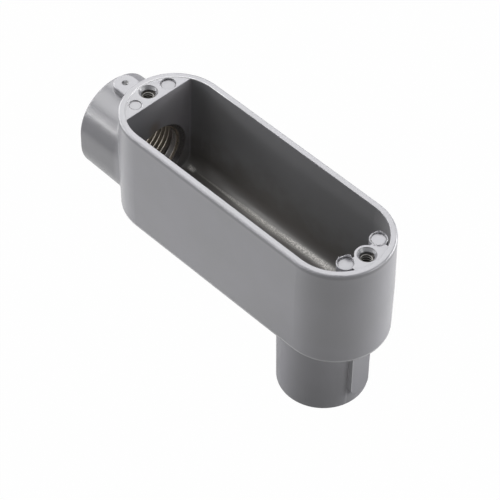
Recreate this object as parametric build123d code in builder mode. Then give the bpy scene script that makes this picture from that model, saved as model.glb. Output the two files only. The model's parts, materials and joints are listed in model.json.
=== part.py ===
from build123d import *
import math
import os

# Conduit body of the LB kind, for 3/4 inch threaded conduit: one aluminium die casting.
# A long round-ended box, open at the cover face, has one threaded hub at an end and one at the back.
# Frame: the origin is the centre of the back hub's mouth, +Z runs from there up to the cover face,
# and -X is the way the end hub points. All sizes are in millimetres and degrees.

# Box of the body
body_width = 39.0
body_depth = 43.2
arc_spacing = 78.6
side_draft = 0.7
rim_round = 0.8
underside_round = 0.8

# Cavity, formed by one core that leaves through the cover face
wall = 2.35
floor_thickness = 2.6
cavity_draft = 1.0
cavity_floor_round = 4.8
bulkhead_offset = 8.35
bulkhead_round = 0.9
land_drop = 0.2

# Hubs: the back one is round, and the end one is a slot that stands on the underside's plane
hub_shoulder = 3.4
hub_draft = 1.0
hub_mouth_chamfer = 0.8
hub_root_round = 1.2
back_root_chamfer = 1.0
end_hub_length = 13.05
end_bore_height = 15.6
end_hub_flat_depth = 1.4
end_hub_upper_arc = 4.5
back_hub_length = 32.4
back_hub_inset = 4.15

# Bore of each hub: thread, conduit stop and throat
thread_radius = 13.335
end_thread_length = 18.0
back_thread_length = 20.0
stop_length = 1.5
throat_radius = 10.4
throat_flare = 2.4
back_throat_length = 3.4
passage_radius = 11.4
passage_chamfer = 0.8

# Set-screw pad on each hub, left undrilled
pad_half_width = 4.25
end_pad_height = 2.8
back_pad_height = 1.7
pad_edge_chamfer = 0.3
end_pad_setback = 7.1
back_pad_setback = 10.2
spot_radius = 1.35
spot_depth = 0.7

# Cover screws
cover_screw_radius = 2.4
cover_screw_depth = 7.8
cover_sink_radius = 3.35
cover_sink_angle = 70.0
end_screw_offset = 13.5
boss_radius = 4.2
boss_screw_offset = 13.05

# Ejector pin marks beside the two screws
ejector_radius = 2.8
worn_ejector_radius = 2.3
ejector_spread = 7.7
ejector_land = 0.35
end_ejector_offset = 11.7
boss_ejector_offset = 10.85
shallow_mark = 0.2
deep_mark = 0.6

# Places worked out from the sizes above
cover_z = back_hub_length + body_depth
floor_z = back_hub_length + floor_thickness
hub_radius = body_width / 2 - hub_shoulder
end_bore_z = back_hub_length + end_bore_height
lower_arc_z = back_hub_length + hub_radius - end_hub_flat_depth
parting_z = end_bore_z + end_hub_upper_arc
arc_rise = parting_z - lower_arc_z
right_arc_x = back_hub_inset
left_arc_x = right_arc_x - arc_spacing
middle_x = (left_arc_x + right_arc_x) / 2
parting_width = body_width + 2 * (cover_z - parting_z) * math.tan(math.radians(side_draft))
cavity_width = body_width - 2 * wall
cavity_depth = cover_z - floor_z
bulkhead_x = left_arc_x - bulkhead_offset
end_mouth_x = left_arc_x - body_width / 2 - end_hub_length
end_bore_length = bulkhead_x - end_mouth_x
end_screw_x = left_arc_x - end_screw_offset
boss_screw_x = right_arc_x + boss_screw_offset
end_ejector_x = left_arc_x - end_ejector_offset
boss_ejector_x = right_arc_x + boss_ejector_offset
passage_bottom_z = back_thread_length + stop_length + back_throat_length
column_radius = ejector_radius + ejector_land
end_pad_top = hub_radius + end_pad_height
back_pad_top = hub_radius + back_pad_height
pad_z = parting_z + end_pad_top
end_pad_run = left_arc_x - (end_mouth_x + end_pad_setback)
back_pad_run = floor_z - back_pad_setback
margin = 5.0
match = 0.01

cover_plane = Plane.XY.offset(cover_z)
parting_plane = Plane.XY.offset(parting_z)
end_mouth_plane = Plane(origin=(end_mouth_x, 0, lower_arc_z), x_dir=(0, 1, 0), z_dir=(1, 0, 0))
end_bore_plane = Plane(origin=(end_mouth_x, 0, end_bore_z), x_dir=(0, 0, 1), z_dir=(0, 1, 0))
back_pad_plane = Plane(origin=(back_pad_top, 0, back_pad_setback), x_dir=(0, 0, 1), z_dir=(1, 0, 0))


def thread_and_throat(thread_length, throat_end):
    """Edges of a bore's half section from its axis at the mouth to the inner end of the throat.

    The section lies on the working plane, with the bore's axis on local Y and the mouth at zero.
    """
    return Polyline(
        (0, -margin),
        (thread_radius, -margin),
        (thread_radius, thread_length),
        (throat_radius, thread_length + stop_length),
        (throat_radius, throat_end),
    )


# Core that forms the cavity, with the columns of the far screw boss standing in it
with BuildPart() as core:
    with BuildSketch(cover_plane):
        with Locations((middle_x, 0)):
            SlotCenterToCenter(arc_spacing, cavity_width)
    extrude(amount=-cavity_depth, taper=cavity_draft)
    fillet(core.faces().sort_by(Axis.Z)[0].edges(), radius=cavity_floor_round)
    split(bisect_by=Plane(origin=(bulkhead_x, 0, 0), z_dir=(1, 0, 0)))
    bulkhead_face = core.faces().filter_by(Axis.X).sort_by(Axis.X)[0]
    fillet(bulkhead_face.edges().sort_by(Axis.Z)[:-1], radius=bulkhead_round)
    with BuildSketch(Plane.XZ):
        with BuildLine():
            Polyline(
                (0, floor_z + passage_chamfer),
                (0, passage_bottom_z),
                (passage_radius, passage_bottom_z),
                (passage_radius, floor_z - passage_chamfer),
                (passage_radius + passage_chamfer, floor_z),
                (passage_radius + passage_chamfer, floor_z + passage_chamfer),
                (0, floor_z + passage_chamfer),
            )
        make_face()
    revolve(axis=Axis.Z)
    column_places = [
        (boss_screw_x, 0, boss_radius),
        (boss_ejector_x, ejector_spread, column_radius),
        (boss_ejector_x, -ejector_spread, column_radius),
    ]
    for column_x, column_y, radius in column_places:
        with BuildSketch(cover_plane):
            with Locations((column_x, column_y)):
                Circle(radius)
        extrude(amount=passage_bottom_z - cover_z, mode=Mode.SUBTRACT)
    with BuildSketch(cover_plane):
        with Locations((boss_ejector_x, 0)):
            Rectangle(body_width / 2, 2 * ejector_spread, align=(Align.MIN, Align.CENTER))
    extrude(amount=passage_bottom_z - cover_z, mode=Mode.SUBTRACT)
    with BuildSketch(cover_plane.offset(-land_drop)):
        with Locations((middle_x, 0)):
            SlotCenterToCenter(arc_spacing, cavity_width)
    extrude(amount=land_drop + margin)

# Bore of the end hub: thread, stop, throat and the flare that opens through the bulkhead
with BuildPart() as end_bore:
    with BuildSketch(end_bore_plane):
        with BuildLine():
            thread_and_throat(end_thread_length, end_bore_length - throat_flare)
            Polyline(
                (throat_radius, end_bore_length - throat_flare),
                (throat_radius + throat_flare, end_bore_length),
                (throat_radius + throat_flare, end_bore_length + margin),
                (0, end_bore_length + margin),
                (0, -margin),
            )
        make_face()
    revolve(axis=Axis(end_bore_plane.origin, end_bore_plane.y_dir))

# Bore of the back hub: thread, stop and the throat that opens into the passage above it
with BuildPart() as back_bore:
    with BuildSketch(Plane.XZ):
        with BuildLine():
            thread_and_throat(back_thread_length, passage_bottom_z)
            Polyline((throat_radius, passage_bottom_z), (0, passage_bottom_z), (0, -margin))
        make_face()
    revolve(axis=Axis.Z)

# End hub: a slot standing upright, cut off flush with the body's underside
with BuildPart() as end_hub:
    with BuildSketch(end_mouth_plane):
        Circle(hub_radius)
        Rectangle(2 * hub_radius, arc_rise, align=(Align.CENTER, Align.MIN))
        with Locations((0, arc_rise)):
            Circle(hub_radius)
    extrude(amount=end_bore_length, taper=-hub_draft)
    split(bisect_by=Plane.XY.offset(back_hub_length))

with BuildPart() as conduit_body:
    # Outer box, drafted both ways from the parting plane through the end hub's upper arc
    with BuildSketch(parting_plane):
        with Locations((middle_x, 0)):
            SlotCenterToCenter(arc_spacing, parting_width)
    extrude(amount=cover_z - parting_z, taper=side_draft)
    with BuildSketch(parting_plane):
        with Locations((middle_x, 0)):
            SlotCenterToCenter(arc_spacing, parting_width)
    extrude(amount=back_hub_length - parting_z, taper=side_draft)
    fillet(conduit_body.faces().sort_by(Axis.Z)[-1].edges(), radius=rim_round)

    # End hub with its root blended into the box, its mouth chamfered, then the underside's edge
    # rounded, which runs round the box and along the hub as far as the mouth
    add(end_hub.part)
    fillet(conduit_body.edges(Select.NEW).sort_by(Axis.Z), radius=hub_root_round)
    chamfer(conduit_body.faces().sort_by(Axis.X)[0].edges(), length=hub_mouth_chamfer)
    underside_edges = conduit_body.faces().sort_by(Axis.Z)[0].edges()
    fillet(underside_edges.sort_by(Axis.X)[1:], radius=underside_round)

    # Back hub
    with BuildSketch(Plane.XY):
        Circle(hub_radius)
    extrude(amount=floor_z, taper=-hub_draft)
    chamfer(conduit_body.edges(Select.NEW), length=back_root_chamfer)
    chamfer(conduit_body.faces().sort_by(Axis.Z)[0].edges(), length=hub_mouth_chamfer)

    # Set-screw pads: the end hub's on top, the back hub's towards the far end
    with BuildSketch(Plane.XY.offset(pad_z)):
        with Locations((end_mouth_x + end_pad_setback, 0)):
            Circle(pad_half_width)
            Rectangle(end_pad_run, 2 * pad_half_width, align=(Align.MIN, Align.CENTER))
    extrude(amount=-end_pad_top)
    with BuildSketch(back_pad_plane):
        Circle(pad_half_width)
        Rectangle(back_pad_run, 2 * pad_half_width, align=(Align.MIN, Align.CENTER))
    extrude(amount=-back_pad_top)
    pad_faces = conduit_body.faces().filter_by_position(Axis.Z, pad_z - match, pad_z + match)
    free_edges = pad_faces.edges().sort_by(Axis.X)[:3]
    chamfer(free_edges, length=pad_edge_chamfer)

    # Cavity and both bores
    add(core.part, mode=Mode.SUBTRACT)
    add(end_bore.part, mode=Mode.SUBTRACT)
    add(back_bore.part, mode=Mode.SUBTRACT)

    # Cover screw holes
    with Locations(cover_plane.offset(-land_drop)):
        with Locations((end_screw_x, 0), (boss_screw_x, 0)):
            CounterSinkHole(cover_screw_radius, cover_sink_radius, cover_screw_depth, cover_sink_angle)

    # Ejector pin marks and the drill spot on the end hub's pad
    ejector_marks = [
        (end_ejector_x, ejector_spread, ejector_radius, deep_mark),
        (end_ejector_x, -ejector_spread, worn_ejector_radius, shallow_mark),
        (boss_ejector_x, ejector_spread, ejector_radius, shallow_mark),
        (boss_ejector_x, -ejector_spread, ejector_radius, deep_mark),
    ]
    for mark_x, mark_y, radius, mark_depth in ejector_marks:
        with BuildSketch(cover_plane.offset(-land_drop)):
            with Locations((mark_x, mark_y)):
                Circle(radius)
        extrude(amount=-mark_depth, mode=Mode.SUBTRACT)
    with Locations((end_mouth_x + end_pad_setback, 0, pad_z)):
        Cone(0, spot_radius, spot_depth, align=(Align.CENTER, Align.CENTER, Align.MAX), mode=Mode.SUBTRACT)

conduit_body.part.label = "conduit_body"
os.makedirs("parts", exist_ok=True)
export_step(conduit_body.part, "parts/conduit_body.step")
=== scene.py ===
"""A die-cast conduit body in grey powder coat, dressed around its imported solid.

The casting keeps its solid. This script gives it its coat and bare metal, and adds the threads in its
hubs and screw holes and the ragged flash at its ejector pin marks. Meshes, mounts, lamps and the
camera are in metres. Other places and sizes on the casting are in millimetres, and MM turns them into
metres.
"""

import json
import math

import bmesh
import bpy
from mathutils import Matrix, Vector, noise


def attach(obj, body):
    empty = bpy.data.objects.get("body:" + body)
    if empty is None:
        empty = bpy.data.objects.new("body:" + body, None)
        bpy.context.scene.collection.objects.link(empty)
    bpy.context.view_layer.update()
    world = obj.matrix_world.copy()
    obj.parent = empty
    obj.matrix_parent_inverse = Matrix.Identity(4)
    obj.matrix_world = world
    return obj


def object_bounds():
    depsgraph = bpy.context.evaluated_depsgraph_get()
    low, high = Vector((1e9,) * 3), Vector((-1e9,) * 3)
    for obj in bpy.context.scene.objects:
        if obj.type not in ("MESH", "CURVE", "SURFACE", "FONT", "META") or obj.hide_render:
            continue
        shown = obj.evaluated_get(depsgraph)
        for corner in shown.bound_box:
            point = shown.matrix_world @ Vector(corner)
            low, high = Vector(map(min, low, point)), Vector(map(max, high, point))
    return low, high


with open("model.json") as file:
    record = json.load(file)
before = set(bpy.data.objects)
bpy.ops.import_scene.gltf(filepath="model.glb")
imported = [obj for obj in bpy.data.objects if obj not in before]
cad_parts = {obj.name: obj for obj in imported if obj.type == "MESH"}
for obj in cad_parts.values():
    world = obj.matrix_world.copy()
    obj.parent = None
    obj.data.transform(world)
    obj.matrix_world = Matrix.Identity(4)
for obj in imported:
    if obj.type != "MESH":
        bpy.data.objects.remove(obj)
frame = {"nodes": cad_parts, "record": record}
cad_low, cad_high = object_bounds()

MM = 0.001

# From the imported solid's mounts and box: three places in metres, the rest in millimetres
CASTING = "conduit_body"
mounts = {mount["name"]: mount for mount in frame["record"]["mounts"]}
back_mouth = Vector(mounts["back_hub"]["pos_m"])
end_mouth = Vector(mounts["end_hub"]["pos_m"])
screw_top = Vector(mounts["cover_screws"]["pos_m"])
bore_radius = mounts["back_hub"]["dims"]["r_mm"]
screw_radius = mounts["cover_screws"]["dims"]["hole_r_mm"]
screw_half_spacing = mounts["cover_screws"]["dims"]["spacing_x_mm"] / 2
rim_top = cad_high.z / MM

# Further places and sizes of the same solid
LAND_DROP = 0.2
land = rim_top - LAND_DROP
UNDERSIDE = 32.4
CAVITY_FLOOR = 35.0
CAVITY_RADIUS = 17.15
MID_WALL_RADIUS = 18.3
LEFT_ARC = -74.45
RIGHT_ARC = 4.15
BULKHEAD = -82.8
THROAT_START = -89.0
HUB_ROOT = -87.0
HUB_RADIUS = 16.1
END_PAD_TOP = 71.4
PAD_HALF_WIDTH = 4.25
SPOT_X = -99.9
SPOT_RADIUS = 1.35
SINK_RADIUS = 3.35

# Bare and stained places: the middle line of the streak of bare grains, partly a painted highlight, the
# bare spot, the stain and the throat's lip
STREAK_Y = 12.5
STREAK_BEND_X = -40.0
BARE_SPOT_X = -79.4
BARE_SPOT_Y = 12.2
STAIN_Y = -2.0
STAIN_Z = 62.5
STAIN_HALF_WIDTH = 3.0
STAIN_HALF_HEIGHT = 3.4
LIP_START = -85.5
LIP_END = -84.3

# Ejector pin marks: centre x and y, radius, and how dark the gap round the disc is, as dirt and painted
# shade
EJECTOR_MARKS = {
    "far_left": (-86.15, 7.7, 2.8, 0.95),
    "near_left": (-86.15, -7.7, 2.3, 0.70),
    "far_right": (15.0, 7.7, 2.8, 0.85),
    "near_right": (15.0, -7.7, 2.8, 0.60),
}

# Threads: pitch, crest radii at the mouth and at full depth, first turn, and segments in a turn
PIPE_PITCH = 25.4 / 14
PIPE_CRESTS = (11.95, 11.65)
PIPE_START = 1.5
PIPE_SEGMENTS = 72
END_HUB_THREAD_DEPTH = 17.8
BACK_HUB_THREAD_DEPTH = 19.8
SCREW_PITCH = 25.4 / 24
SCREW_CRESTS = (1.88, 1.88)
SCREW_START = 0.05
SCREW_SEGMENTS = 32
SCREW_THREAD_DEPTH = 7.2

# Camera and floor
CAMERA_PLACE = Vector((0.38102, -0.41430, 0.67309))
CAMERA_RIGHT = Vector((0.69549, 0.71845, 0.01104))
CAMERA_UP = Vector((-0.53342, 0.50595, 0.67785))
CAMERA_BACK = Vector((0.48142, -0.47733, 0.73512))
LENS_MM = 180.0
SENSOR_MM = 36.0
STUDIO_FLOOR_Z = -60 * MM
STUDIO_FLOOR_RADIUS = 0.9

# White ring on the floor, seen by gloss: radii in millimetres over which it comes in, and over which it
# fades out. Inside it the glow is left out, as a painted shadow of the part in reflections
RING_COMES_IN = (66.0, 105.0)
RING_FADES_OUT = (300.0, 240.0)


class Socket:
    """An output socket of a shader node. Arithmetic on it adds Math nodes to the same tree."""

    def __init__(self, tree, output):
        self.tree = tree
        self.output = output

    def math(self, operation, *values):
        return self.tree.node("ShaderNodeMath", {"operation": operation}, dict(enumerate(values)))

    def __add__(self, other):
        return self.math("ADD", self, other)

    __radd__ = __add__

    def __sub__(self, other):
        return self.math("SUBTRACT", self, other)

    def __rsub__(self, other):
        return self.math("SUBTRACT", other, self)

    def __mul__(self, other):
        return self.math("MULTIPLY", self, other)

    __rmul__ = __mul__

    def __truediv__(self, other):
        return self.math("DIVIDE", self, other)

    def __abs__(self):
        return self.math("ABSOLUTE", self)

    def at_least(self, other):
        return self.math("MAXIMUM", self, other)

    def at_most(self, other):
        return self.math("MINIMUM", self, other)

    def root(self):
        return self.math("SQRT", self)

    def rise(self, low, high):
        """0 below low, 1 above high, smooth between. With low above high it falls instead."""
        settings = {"interpolation_type": "SMOOTHSTEP"}
        inputs = {"Value": self, "From Min": low, "From Max": high, "To Min": 0.0, "To Max": 1.0}
        return self.tree.node("ShaderNodeMapRange", settings, inputs)


class Tree:
    """The node tree of a material or of the world."""

    def __init__(self, owner):
        owner.use_nodes = True
        self.tree = owner.node_tree
        self.tree.nodes.clear()

    def node(self, kind, settings=None, inputs=None, output=0):
        """Adds a node: its settings first, then the values or links of its sockets."""
        made = self.tree.nodes.new(kind)
        for key, value in (settings or {}).items():
            setattr(made, key, value)
        for key, value in (inputs or {}).items():
            if isinstance(value, Socket):
                self.tree.links.new(value.output, made.inputs[key])
            else:
                made.inputs[key].default_value = value
        return Socket(self, made.outputs[output]) if made.outputs else None

    def mix_colour(self, share, first, second):
        """A colour that goes from first to second as share goes from 0 to 1."""
        inputs = {0: share, 6: first, 7: second}
        return self.node("ShaderNodeMix", {"data_type": "RGBA"}, inputs, output=2)

    def lay_over(self, ground, layers):
        """A colour with layers over it in turn, each given as its share from 0 to 1 and its colour."""
        for share, layer in layers:
            ground = self.mix_colour(share, ground, layer)
        return ground

    def noise(self, place, scale, detail=2.0, roughness=0.5):
        inputs = {"Vector": place, "Scale": scale, "Detail": detail, "Roughness": roughness}
        return self.node("ShaderNodeTexNoise", {}, inputs, output="Fac")

    def place_in_mm(self):
        """The point on the surface in millimetres."""
        place = self.node("ShaderNodeTexCoord", {}, {}, output="Object")
        return self.node("ShaderNodeVectorMath", {"operation": "SCALE"}, {0: place, "Scale": 1 / MM})

    def axes(self, place):
        return [self.node("ShaderNodeSeparateXYZ", {}, {0: place}, output=axis) for axis in "XYZ"]

    def finish_surface(self, inputs):
        """Ends a material in a Principled surface with these inputs."""
        surface = self.node("ShaderNodeBsdfPrincipled", {}, inputs)
        self.node("ShaderNodeOutputMaterial", {}, {"Surface": surface})


def colour(red, green, blue):
    return (red, green, blue, 1.0)


COAT = colour(0.385, 0.381, 0.414)
COAT_SHADE = colour(0.366, 0.365, 0.388)
# Cavity coats: darker than the outer coat, partly a thinner coat and partly painted shade of the deep
# cavity, darkest low down
INNER_COAT_AND_PAINTED_SHADE = colour(0.230, 0.230, 0.240)
LOW_COAT_AND_PAINTED_SHADE = colour(0.150, 0.142, 0.134)
# Painted shade on the near part of the bulkhead, and painted light on its far part
NEAR_BULKHEAD_PAINTED_SHADE = colour(0.135, 0.135, 0.145)
FAR_BULKHEAD_PAINTED_LIGHT = colour(0.33, 0.32, 0.34)
OIL_STAIN = colour(0.150, 0.118, 0.090)
BARE_METAL = colour(0.80, 0.78, 0.745)
DARK_METAL = colour(0.25, 0.235, 0.22)
# Painted shade deep in the end hub's throat
THROAT_PAINTED_SHADE = colour(0.115, 0.105, 0.105)
LIP_METAL = colour(0.60, 0.51, 0.41)
# Painted shade over the cavity's right part, under the rim, on the end hub's sides, in the holes, along
# the sink edges and in the pad's recess, and dirt with painted shade in the gaps round the ejector discs
PAINTED_SHADE_AND_DIRT = colour(0.050, 0.050, 0.052)
# Painted shade on the sides of the end hub's pad
PAD_SIDE_PAINTED_SHADE = colour(0.10, 0.10, 0.105)
# Painted light: a pale line on the land's step that lightens the shade of its soft edge
LAND_STEP_PAINTED_LIGHT = colour(0.95, 0.95, 0.97)
# Painted shade in the countersinks of the screw holes
SINK_PAINTED_SHADE = colour(0.27, 0.27, 0.29)
# Pale coat on the flash's thin crests, and painted highlights on the underside's edge and the back pad's
# side
PALE_COAT_AND_PAINTED_HIGHLIGHT = colour(0.72, 0.72, 0.74)
THREAD_ROOT = colour(0.300, 0.270, 0.240)
THREAD_CREST = colour(0.36, 0.33, 0.28)
# Screw holes' thread: painted shade in its roots, painted highlights on its upper crests
SCREW_THREAD_PAINTED_SHADE = colour(0.07, 0.065, 0.06)
SCREW_THREAD_PAINTED_HIGHLIGHT = colour(0.80, 0.78, 0.74)
STUDIO_WHITE = colour(1, 1, 1)
STUDIO_GREY = colour(0.25, 0.25, 0.25)


def hub_distances(x, y, z):
    """Distances from the axes of the end hub's bore and of the back hub's bore."""
    up_from_axis = z - end_mouth.z / MM
    return (y * y + up_from_axis * up_from_axis).root(), (x * x + y * y).root()


def nearer_screw_distance(x, y):
    """Distance from the axis of the nearer screw hole."""
    from_screw = abs(x - screw_top.x / MM) - screw_half_spacing
    return (from_screw * from_screw + y * y).root()


def ejector_discs_and_gaps(x, y, ragged):
    """Where the discs of the ejector pins are, and where the ragged gaps round them are."""
    discs = x * 0.0
    gaps = x * 0.0
    for centre_x, centre_y, radius, darkness in EJECTOR_MARKS.values():
        across = x - centre_x
        along = y - centre_y
        distance = (across * across + along * along).root()
        discs = discs.at_least(distance.rise(radius + 0.5, radius + 0.45))
        wandering = distance + (ragged - 0.5) * 0.9
        line = wandering.rise(radius - 0.44, radius - 0.26) * wandering.rise(radius + 0.04, radius - 0.08)
        gaps = gaps.at_least(line * darkness)
    return discs, gaps


class CastingRegions:
    """Where a point of the casting lies: its place and distances in millimetres, and masks from 0 to 1."""

    def __init__(self, tree):
        self.place = tree.place_in_mm()
        self.axes = tree.axes(self.place)
        self.grain = tree.noise(self.place, 2.4, detail=4.0, roughness=0.7)
        x, y, z = self.axes
        ragged = tree.noise(self.place, 1.3, detail=2.0)
        discs, gaps = ejector_discs_and_gaps(x, y, ragged)
        end_distance, back_distance = hub_distances(x, y, z)
        self.screw_distance = nearer_screw_distance(x, y)

        # Cavity: within the wall's middle line, past the bulkhead and below the land, apart from the
        # tops of the discs and of the screw boss
        middle_x = (LEFT_ARC + RIGHT_ARC) / 2
        half_spacing = (RIGHT_ARC - LEFT_ARC) / 2
        past_arc = (abs(x - middle_x) - half_spacing).at_least(0.0)
        self.from_middle = (past_arc * past_arc + y * y).root()
        self.in_wall = self.from_middle.rise(MID_WALL_RADIUS + 0.05, MID_WALL_RADIUS - 0.05)
        self.near_land = z.rise(land - 1.6, land - 1.2)
        past_bulkhead = x.rise(BULKHEAD - 0.35, BULKHEAD - 0.1)
        below_land = z.rise(land - 0.05, land - 0.3)
        above_underside = z.rise(CAVITY_FLOOR - 1.6, CAVITY_FLOOR - 1.4)
        tops = (discs + self.screw_distance.rise(3.6, 3.5)).at_most(1.0) * self.near_land
        self.cavity = self.in_wall * past_bulkhead * below_land * above_underside * (1.0 - tops)
        self.bulkhead = x.rise(BULKHEAD + 0.6, BULKHEAD + 0.3) * self.cavity
        self.gaps = gaps * self.near_land

        # Bores of the two hubs, with the end hub's throat and its lip, and the screw holes
        in_end_radius = end_distance.rise(bore_radius + 0.12, bore_radius + 0.02)
        in_back_radius = back_distance.rise(bore_radius + 0.12, bore_radius + 0.02)
        in_screw_radius = self.screw_distance.rise(screw_radius + 0.16, screw_radius + 0.04)
        self.end_bore = in_end_radius * x.rise(BULKHEAD - 0.05, BULKHEAD - 0.15)
        self.back_bore = in_back_radius * z.rise(CAVITY_FLOOR + 0.3, CAVITY_FLOOR - 0.1)
        self.screw_bore = in_screw_radius * z.rise(land - 10.0, land - 9.5) * below_land
        self.throat = self.end_bore * x.rise(THROAT_START - 0.2, THROAT_START + 0.1)
        self.lip = self.end_bore * x.rise(LIP_START, LIP_START + 0.2) * x.rise(LIP_END, LIP_END - 0.5)


def bare_metal_and_painted_highlight(regions):
    """Bare metal in the cavity: a grainy streak along the floor's far round, laid where light falls and so
    partly a painted highlight, and a spot near its end.
    """
    x, y, z = regions.axes
    grain = regions.grain

    # The streak bends outwards half way, is thin at the bulkhead and stops short of the boss
    across = y - STREAK_Y - (x - STREAK_BEND_X).at_least(0.0) * 0.042
    half_width = 0.34 + x.rise(-72.0, -44.0) * 0.78
    core = (abs(across) / half_width).rise(1.25, 0.3)
    near_flank = across.rise(-2.6, -0.6) * across.rise(0.3, 0.0) * 0.68
    far_flank = across.rise(2.4, 0.5) * across.rise(-0.1, 0.2) * 0.10
    flanks = (1.0 - core) * (near_flank + far_flank)
    bare_highlight_share = core * x.rise(-88.0, -50.0) + flanks * x.rise(-66.0, -44.0)
    on_round = x.rise(-2.0, -14.0) * z.rise(CAVITY_FLOOR + 3.4, CAVITY_FLOOR + 2.0)
    # Bare grains laid where light falls on the round, so partly a painted highlight
    streak = bare_highlight_share * (0.3 + grain.rise(0.42, 0.60) * 0.7) * on_round

    # The bare spot lies low in the far corner by the bulkhead
    spot_area = abs(x - BARE_SPOT_X).rise(2.2, 0.6) * abs(y - BARE_SPOT_Y).rise(1.3, 0.4)
    bare_spot = spot_area * z.rise(CAVITY_FLOOR + 2.2, CAVITY_FLOOR + 1.0) * grain.rise(0.3, 0.6) * 1.1
    return (streak + bare_spot).at_most(1.0) * regions.cavity


def cavity_layers(tree, regions):
    """Thin coat in the cavity, darker and browner low down and partly painted shade of the deep cavity,
    with painted light and shade across the bulkhead, a stain over its opening, and painted shade over the
    cavity's right part.
    """
    x, y, z = regions.axes
    patches = tree.noise(regions.place, 0.12, detail=3.0)
    low = (48.0 - z + (patches - 0.5) * 22.0).rise(-9.0, 9.0)
    # The cavity's coat, darker towards the bottom: partly a thinner coat, partly painted shade
    thin_coat_and_painted_shade = tree.mix_colour(low, INNER_COAT_AND_PAINTED_SHADE, LOW_COAT_AND_PAINTED_SHADE)
    # Painted light and shade across the bulkhead: darker on its near side, lighter on its far side
    bulkhead_painted_light = tree.mix_colour(y.rise(-12.0, 12.0), NEAR_BULKHEAD_PAINTED_SHADE, FAR_BULKHEAD_PAINTED_LIGHT)
    stain_y = (y - STAIN_Y) / STAIN_HALF_WIDTH
    stain_z = (z - STAIN_Z) / STAIN_HALF_HEIGHT
    stain = (stain_y * stain_y + stain_z * stain_z).root().rise(1.3, 0.3) * regions.bulkhead
    # Painted shade over the right part of the cavity's walls
    right_part = x.rise(-45.0, -5.0) * regions.cavity
    return [
        (regions.cavity, thin_coat_and_painted_shade),
        (regions.bulkhead * (1.0 - low * 0.6), bulkhead_painted_light),
        (stain * 0.65, OIL_STAIN),
        (right_part * 0.16, PAINTED_SHADE_AND_DIRT),
    ]


def bore_layers(tree, regions):
    """Dark cut metal in the bores, with painted shade darkening the end hub's throat, and a brighter lip.
    """
    bore_metal = tree.mix_colour(regions.throat, DARK_METAL, THROAT_PAINTED_SHADE)
    return [
        ((regions.end_bore + regions.back_bore).at_most(1.0), bore_metal),
        (regions.lip * regions.grain.rise(0.3, 0.6), LIP_METAL),
    ]


def outside_layers(regions):
    """Painted shade and highlights on the land and outside: shade in the screw sinks, on the end pad's
    sides, under the rim and on the end hub's sides, and painted light on the land step, the lower edge and
    the back pad's side.
    """
    x, y, z = regions.axes
    # Painted shade in the countersinks of the screw holes
    sink_depth = z.rise(land - 0.02, land - 0.12) * z.rise(land - 2.0, land - 1.6)
    sink = regions.screw_distance.rise(SINK_RADIUS + 0.07, SINK_RADIUS - 0.1) * sink_depth
    # Painted shade on the sides of the end hub's pad
    above_hub = z.rise(END_PAD_TOP - 2.8, END_PAD_TOP - 2.5)
    below_pad_top = z.rise(END_PAD_TOP - 0.15, END_PAD_TOP - 0.4)
    end_pad_side = above_hub * below_pad_top * x.rise(-92.0, -93.0)
    # Painted light: a pale line along the land's step at the far left, lightening the shade of its soft
    # edge
    at_step = abs(regions.from_middle - CAVITY_RADIUS).rise(0.38, 0.12)
    far_left = x.rise(-60.0, -70.0) * y.rise(-9.0, -2.0)
    land_step = at_step * z.rise(land - 0.06, land - 0.01) * far_left
    # Painted shade: a dark band outside, just under the rim's round
    under_rim = z.rise(rim_top - 2.2, rim_top - 1.3) * z.rise(rim_top - 0.4, rim_top - 0.8)
    # Painted highlights: a pale line round the underside's edge, and on the back pad's side
    at_underside = z.rise(UNDERSIDE + 1.5, UNDERSIDE + 0.8) * z.rise(UNDERSIDE - 0.1, UNDERSIDE + 0.1)
    lower_edge = at_underside * (1.0 - regions.cavity)
    on_back_hub = x.rise(HUB_RADIUS - 0.9, HUB_RADIUS - 0.2) * z.rise(UNDERSIDE - 0.1, UNDERSIDE - 0.6)
    back_pad_side = abs(y + PAD_HALF_WIDTH).rise(0.5, 0.2) * on_back_hub
    # Painted shade: the end hub's sides darker
    hub_height = z.rise(END_PAD_TOP - 1.8, END_PAD_TOP - 2.4) * z.rise(38.0, 48.0)
    hub_side = x.rise(HUB_ROOT + 0.2, HUB_ROOT - 2.6) * hub_height * (1.0 - regions.end_bore)
    return [
        (sink, SINK_PAINTED_SHADE),
        (end_pad_side * 0.55, PAD_SIDE_PAINTED_SHADE),
        (land_step * 0.85, LAND_STEP_PAINTED_LIGHT),
        (under_rim * (1.0 - regions.in_wall) * 0.28, PAINTED_SHADE_AND_DIRT),
        ((lower_edge * 0.95 + back_pad_side * 0.45).at_most(1.0), PALE_COAT_AND_PAINTED_HIGHLIGHT),
        (hub_side * 0.30, PAINTED_SHADE_AND_DIRT),
    ]


def dark_places(regions):
    """Dirt and painted shade in the gaps round the ejector discs, and painted shade in the screw holes,
    along the edges of their sinks and in the end pad's small recess, with a lighter painted highlight
    streak across it.
    """
    x, y, z = regions.axes
    from_spot = x - SPOT_X
    spot_distance = (from_spot * from_spot + y * y).root()
    in_spot = spot_distance.rise(SPOT_RADIUS + 0.05, SPOT_RADIUS - 0.25)
    spot = in_spot * z.rise(END_PAD_TOP - 2.4, END_PAD_TOP - 1.4)
    # A lighter streak across the recess, a painted highlight
    painted_highlight_streak = abs(from_spot * 0.7 + y * 0.7 + 0.15).rise(0.32, 0.12)
    # Painted shade: a dark line along the edge of each sink, and the screw holes darkened
    sink_edge = abs(regions.screw_distance - SINK_RADIUS + 0.05).rise(0.2, 0.05) * regions.near_land
    screws = regions.screw_bore * 0.85 + sink_edge * 0.55
    return (regions.gaps + screws + spot * (0.8 - painted_highlight_streak * 0.7)).at_most(1.0)


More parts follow.
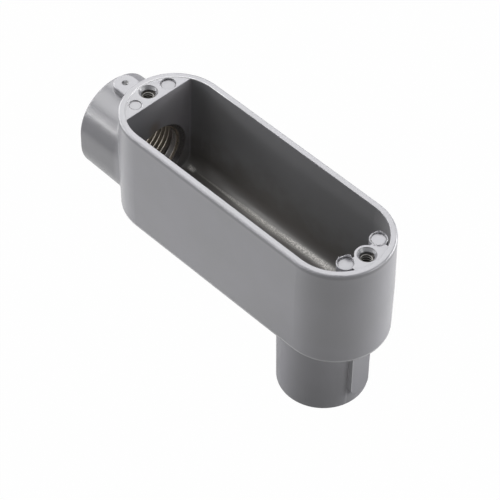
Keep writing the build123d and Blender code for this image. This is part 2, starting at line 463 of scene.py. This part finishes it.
def coated_casting():
    """Grey powder coat outside, thinner in the cavity, and bare cast metal low in it and in the bores,
    with painted shade and highlights in its colour.
    """
    material = bpy.data.materials.new("powder_coated_casting")
    tree = Tree(material)
    regions = CastingRegions(tree)
    bare_highlight_share = bare_metal_and_painted_highlight(regions)
    cloud = tree.noise(regions.place, 0.05, detail=2.0)
    layers = cavity_layers(tree, regions)
    layers.append((bare_highlight_share, BARE_METAL))
    layers += bore_layers(tree, regions)
    layers += outside_layers(regions)
    layers.append((dark_places(regions), PAINTED_SHADE_AND_DIRT))
    outside = tree.mix_colour(cloud.rise(0.3, 0.7), COAT, COAT_SHADE)

    bore_metal = (regions.end_bore - regions.throat * 0.6 + regions.back_bore) * 0.4
    bare = (bore_metal + bare_highlight_share + regions.lip * 0.6).at_most(1.0)
    orange_peel = tree.noise(regions.place, 1.1, detail=1.0)
    fine = tree.noise(regions.place, 6.0, detail=2.0)
    x = regions.axes[0]
    land_edge = x.rise(BULKHEAD - 1.6, BULKHEAD - 0.4) * x.rise(-80.0, -81.0) * regions.near_land
    cast_grain = regions.grain * (bare * 0.10 + regions.cavity * 0.02 + land_edge * 0.10)
    height = orange_peel * 0.02 + fine * 0.004 + cast_grain - regions.gaps * 0.2
    soft_edges = tree.node("ShaderNodeBevel", {"samples": 6}, {"Radius": 0.28 * MM}, output="Normal")
    bump = {"Strength": 0.5, "Distance": 1.0 * MM, "Height": height, "Normal": soft_edges}
    tree.finish_surface({
        "Base Color": tree.lay_over(outside, layers),
        "Roughness": 0.26 + regions.cavity * 0.16 + bare * 0.05 + (fine - 0.5) * 0.06,
        "Metallic": bare * 0.85,
        "IOR": 1.9,
        "Normal": tree.node("ShaderNodeBump", {}, bump),
    })
    return material


def cut_thread():
    """Machined aluminium of a tapped pipe thread: bright on its crests, darker and less metallic in its
    roots.
    """
    material = bpy.data.materials.new("cut_thread_metal")
    tree = Tree(material)
    place = tree.place_in_mm()
    end_distance, back_distance = hub_distances(*tree.axes(place))
    grain = tree.noise(place, 3.0, detail=4.0, roughness=0.7)
    crest = (end_distance.at_most(back_distance) + (grain - 0.5) * 0.5).rise(12.05, 11.75)
    bump = {"Strength": 0.4, "Distance": 0.1 * MM, "Height": grain}
    tree.finish_surface({
        "Base Color": tree.mix_colour(crest, THREAD_ROOT, THREAD_CREST),
        "Roughness": 0.32 + grain * 0.15,
        "Metallic": 0.2 + crest * 0.5,
        "Normal": tree.node("ShaderNodeBump", {}, bump),
    })
    return material


def coated_thread():
    """The screw holes' thread: painted highlights on its upper crests, painted shade in its roots."""
    material = bpy.data.materials.new("screw_hole_thread")
    tree = Tree(material)
    x, y, z = tree.axes(tree.place_in_mm())
    crest = nearer_screw_distance(x, y).rise(2.12, 1.95) * z.rise(land - 7.0, land - 3.0)
    base = tree.mix_colour(crest, SCREW_THREAD_PAINTED_SHADE, SCREW_THREAD_PAINTED_HIGHLIGHT)
    tree.finish_surface({"Base Color": base, "Roughness": 0.35, "Metallic": 0.3})
    return material


def flash_coat():
    """The coat on the flash, paler where it is thin over the ragged crests."""
    material = bpy.data.materials.new("flash_coat")
    tree = Tree(material)
    grain = tree.noise(tree.place_in_mm(), 4.0, detail=3.0)
    bump = {"Strength": 0.5, "Distance": 0.15 * MM, "Height": grain}
    tree.finish_surface({
        "Base Color": tree.mix_colour(grain.rise(0.35, 0.65), COAT, PALE_COAT_AND_PAINTED_HIGHLIGHT),
        "Roughness": 0.35,
        "Normal": tree.node("ShaderNodeBump", {}, bump),
    })
    return material


def finish_piece(name, mesh, material):
    """Links a finished bmesh as an object that rides on the casting's body."""
    data = bpy.data.meshes.new(name)
    mesh.to_mesh(data)
    mesh.free()
    data.materials.append(material)
    piece = bpy.data.objects.new(name, data)
    bpy.context.scene.collection.objects.link(piece)
    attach(piece, "root")


def thread_ridge(name, mouth, inward, wall, crests, pitch, start, depth, segments, material):
    """The helical ridge of a tapped thread, as one closed bar whose base is sunk in the bore's wall.

    All lengths are in metres. crests are the crest's radii at the mouth and at the full depth, and
    start and depth are measured inwards from the mouth. The ridge rises out of the wall over its
    first and last half turn.
    """
    mesh = bmesh.new()
    sunk = 0.1 * MM
    base_half = pitch * 0.46
    crest_half = pitch * 0.07
    section = [
        (wall + sunk, -base_half),
        (wall, -base_half),
        (crests[0], -crest_half),
        (crests[0], crest_half),
        (wall, base_half),
        (wall + sunk, base_half),
    ]
    corners = [mesh.verts.new((radius, 0.0, along)) for radius, along in section]
    face = mesh.faces.new(corners)
    steps = round((depth - start) / pitch * segments)
    bmesh.ops.spin(
        mesh, geom=[face, *face.edges, *face.verts], cent=(0, 0, 0), axis=(0, 0, 1),
        dvec=Vector((0, 0, pitch / segments)), angle=math.tau * steps / segments, steps=steps,
        use_merge=False, use_duplicate=False,
    )
    bmesh.ops.remove_doubles(mesh, verts=mesh.verts, dist=0.001 * MM)
    length = pitch * steps / segments
    for vert in mesh.verts:
        radius = math.hypot(vert.co.x, vert.co.y)
        if radius < wall - sunk:
            share = min(max(vert.co.z / length, 0.0), 1.0)
            fade = min(1.0, 2 * vert.co.z / pitch + 0.15, 2 * (length - vert.co.z) / pitch + 0.15)
            crest = crests[0] + (crests[1] - crests[0]) * share
            target = wall - (wall - crest) * max(fade, 0.05)
            vert.co.x *= target / radius
            vert.co.y *= target / radius
    bmesh.ops.recalc_face_normals(mesh, faces=mesh.faces)
    turn = Vector((0, 0, 1)).rotation_difference(inward).to_matrix().to_4x4()
    bmesh.ops.transform(mesh, matrix=Matrix.Translation(mouth + inward * start) @ turn, verts=mesh.verts)
    finish_piece(name, mesh, material)


def build_threads():
    pipe_metal = cut_thread()
    pipe_crests = [radius * MM for radius in PIPE_CRESTS]
    hubs = (
        ("end_hub_thread", end_mouth, Vector((1, 0, 0)), END_HUB_THREAD_DEPTH),
        ("back_hub_thread", back_mouth, Vector((0, 0, 1)), BACK_HUB_THREAD_DEPTH),
    )
    for name, mouth, inward, depth in hubs:
        thread_ridge(
            name, mouth, inward, bore_radius * MM, pipe_crests, PIPE_PITCH * MM, PIPE_START * MM,
            depth * MM, PIPE_SEGMENTS, pipe_metal,
        )
    screw_metal = coated_thread()
    screw_crests = [radius * MM for radius in SCREW_CRESTS]
    for name, side in (("end_screw_thread", -1), ("far_screw_thread", 1)):
        mouth = screw_top + Vector((side * screw_half_spacing * MM, 0, 0))
        thread_ridge(
            name, mouth, Vector((0, 0, -1)), screw_radius * MM, screw_crests, SCREW_PITCH * MM,
            SCREW_START * MM, SCREW_THREAD_DEPTH * MM, SCREW_SEGMENTS, screw_metal,
        )


def flash_ridge(mark, middle, sweep, height, peaks, seed, material):
    """A ragged crest of flash round part of an ejector mark, as a closed bar whose base is sunk in.

    middle and sweep are in degrees, counted from +X to +Y, and height is in millimetres. Each peak
    has its angle, its height above the crest, and its width in degrees.
    """
    centre_x, centre_y, mark_radius = EJECTOR_MARKS[mark][:3]
    radius = mark_radius + 0.12
    steps = round(math.radians(sweep) * radius / 0.14)
    closed = sweep >= 360

    # The bar with an even crest 1 mm high, spun round the mark's centre
    mesh = bmesh.new()
    section = (
        (radius - 0.10, -0.12),
        (radius - 0.07, 0.01),
        (radius - 0.06, 1.0),
        (radius + 0.10, 0.93),
        (radius + 0.20, 0.01),
        (radius + 0.22, -0.12),
    )
    start = math.radians(middle - sweep / 2)
    corners = [mesh.verts.new((out * math.cos(start), out * math.sin(start), up)) for out, up in section]
    face = mesh.faces.new(corners)
    ring = [*face.edges, *face.verts]
    if closed:
        mesh.faces.remove(face)
    else:
        ring.append(face)
    bmesh.ops.spin(
        mesh, geom=ring, cent=(0, 0, 0), axis=(0, 0, 1), dvec=(0, 0, 0), angle=math.radians(sweep),
        steps=steps, use_merge=closed, use_duplicate=False,
    )

    # The crest made ragged, and swayed in and out
    for vert in mesh.verts:
        if vert.co.z > 0.5:
            bearing = math.atan2(vert.co.y, vert.co.x)
            turn = middle + (math.degrees(bearing) - middle + 180) % 360 - 180
            wide = Vector((math.cos(bearing), math.sin(bearing), 0)) * 2.6
            narrow = Vector((math.cos(bearing), math.sin(bearing), 0)) * 9.0
            swell = noise.noise(wide + Vector((0, 0, seed)))
            chip = noise.noise(narrow + Vector((0, 0, seed + 5.0)))
            share = min(max((turn - middle) / sweep + 0.5, 0.0), 1.0)
            fade = 1.0 if closed else math.sin(math.pi * share) ** 0.5
            rise = height * max(0.1, fade * (0.65 + 0.8 * swell + 1.0 * chip))
            for peak_turn, peak_height, peak_width in peaks:
                off = (turn - peak_turn) / peak_width
                rise += peak_height * math.exp(-off * off) * (1.0 + 0.5 * chip)
            sway = 1 + 0.16 * swell / math.hypot(vert.co.x, vert.co.y)
            vert.co = Vector((vert.co.x * sway, vert.co.y * sway, vert.co.z * rise))
    bmesh.ops.recalc_face_normals(mesh, faces=mesh.faces)
    bmesh.ops.translate(mesh, vec=(centre_x, centre_y, land), verts=mesh.verts)
    bmesh.ops.scale(mesh, vec=(MM, MM, MM), verts=mesh.verts)
    finish_piece(mark + "_flash", mesh, material)


def build_flash():
    material = flash_coat()
    near_right_peaks = ((188, 0.90, 9), (131, 0.40, 10), (110, 1.00, 18))
    flash_ridge("near_right", 145, 190, 0.12, near_right_peaks, 3.1, material)
    flash_ridge("far_right", 130, 360, 0.30, ((125, 0.35, 26),), 7.4, material)
    flash_ridge("far_left", 190, 150, 0.25, ((215, 0.35, 18),), 1.7, material)
    flash_ridge("near_left", 150, 250, 0.20, (), 4.2, material)


def build_studio_floor():
    """A round pale floor, white to the camera, with a white ring round the part to gloss, whose dark
    middle is a painted shadow of the part in reflections.
    """
    mesh = bmesh.new()
    bmesh.ops.create_circle(mesh, cap_ends=True, segments=96, radius=STUDIO_FLOOR_RADIUS)
    bmesh.ops.translate(mesh, vec=(0, 0, STUDIO_FLOOR_Z), verts=mesh.verts)
    data = bpy.data.meshes.new("studio_floor")
    mesh.to_mesh(data)
    mesh.free()
    floor = bpy.data.objects.new("studio_floor", data)
    bpy.context.scene.collection.objects.link(floor)
    material = bpy.data.materials.new("white_floor")
    tree = Tree(material)
    x, y = tree.axes(tree.place_in_mm())[:2]
    away = (x * x + y * y).root()
    # No glow to gloss near the part: a painted shadow of the part in reflections
    white_ring = away.rise(*RING_FADES_OUT) * away.rise(*RING_COMES_IN)
    camera = tree.node("ShaderNodeLightPath", {}, {}, output="Is Camera Ray")
    glossy = tree.node("ShaderNodeLightPath", {}, {}, output="Is Glossy Ray")
    plain = tree.node("ShaderNodeBsdfDiffuse", {}, {"Color": STUDIO_GREY})
    glow = tree.node("ShaderNodeEmission", {}, {"Color": STUDIO_WHITE, "Strength": 1.0})
    share = camera * 0.99 + glossy * white_ring * 0.78
    surface = tree.node("ShaderNodeMixShader", {}, {0: share, 1: plain, 2: glow})
    tree.node("ShaderNodeOutputMaterial", {}, {"Surface": surface})
    data.materials.append(material)


def build_world():
    """White to the camera. To gloss it is a dark room with a bright band of wall above the horizon."""
    world = bpy.data.worlds.new("studio")
    bpy.context.scene.world = world
    tree = Tree(world)
    direction = tree.node("ShaderNodeTexCoord", {}, {}, output="Generated")
    up = tree.node("ShaderNodeSeparateXYZ", {}, {0: direction}, output="Z")
    camera = tree.node("ShaderNodeLightPath", {}, {}, output="Is Camera Ray")
    glossy = tree.node("ShaderNodeLightPath", {}, {}, output="Is Glossy Ray")
    ambient = 0.04
    bright_wall = up.rise(0.11, 0.19) * up.rise(0.49, 0.41) * 1.35
    level = (1.0 - glossy) * ambient + glossy * (bright_wall + 0.05)
    strength = level + (1.0 - level) * camera
    glow = tree.node("ShaderNodeBackground", {}, {"Color": STUDIO_WHITE, "Strength": strength})
    tree.node("ShaderNodeOutputWorld", {}, {"Surface": glow})


def lamp(name, azimuth, elevation, distance, width, height, watts):
    """A soft rectangular lamp that looks at the part's middle from a direction in degrees.

    The azimuth is counted from +X to +Y.
    """
    data = bpy.data.lights.new(name, "AREA")
    data.shape = "RECTANGLE"
    data.size = width
    data.size_y = height
    data.energy = watts
    turn = math.radians(azimuth)
    rise = math.radians(elevation)
    outward = Vector((math.cos(rise) * math.cos(turn), math.cos(rise) * math.sin(turn), math.sin(rise)))
    made = bpy.data.objects.new(name, data)
    made.location = (cad_low + cad_high) / 2 + outward * distance
    made.rotation_euler = outward.to_track_quat("Z", "Y").to_euler()
    bpy.context.scene.collection.objects.link(made)


def build_lamps():
    lamp("overhead_softbox", 0, 89, 1.2, 0.9, 0.9, 3.0)
    lamp("left_strip", -121, 13, 1.2, 1.0, 0.07, 1.5)
    lamp("front_left_softbox", -150, 10, 1.3, 0.7, 0.7, 5.5)
    lamp("left_softbox", 180, 12, 1.3, 0.7, 0.7, 7.6)
    lamp("high_left_softbox", -150, 50, 1.2, 0.7, 0.7, 4.0)
    lamp("back_left_softbox", 135, 50, 1.2, 0.9, 0.9, 6.8)
    lamp("right_back_softbox", 68, 10, 1.3, 0.9, 0.7, 15.0)
    lamp("right_softbox", 20, 18, 1.3, 0.7, 0.7, 4.0)


def build_camera():
    """The photograph's own angle, worked out from the casting's outlines in it."""
    data = bpy.data.cameras.new("photo_camera")
    data.lens = LENS_MM
    data.sensor_width = SENSOR_MM
    data.clip_start = 0.01
    camera = bpy.data.objects.new("photo_camera", data)
    turn = Matrix((CAMERA_RIGHT, CAMERA_UP, CAMERA_BACK)).transposed().to_4x4()
    camera.matrix_world = Matrix.Translation(CAMERA_PLACE) @ turn
    bpy.context.scene.collection.objects.link(camera)
    bpy.context.scene.camera = camera


def dress_casting():
    material = coated_casting()
    for slot in frame["nodes"][CASTING].material_slots:
        slot.material = material


bpy.context.scene.view_settings.view_transform = "Standard"
build_camera()
build_world()
build_lamps()
build_studio_floor()
dress_casting()
build_threads()
build_flash()
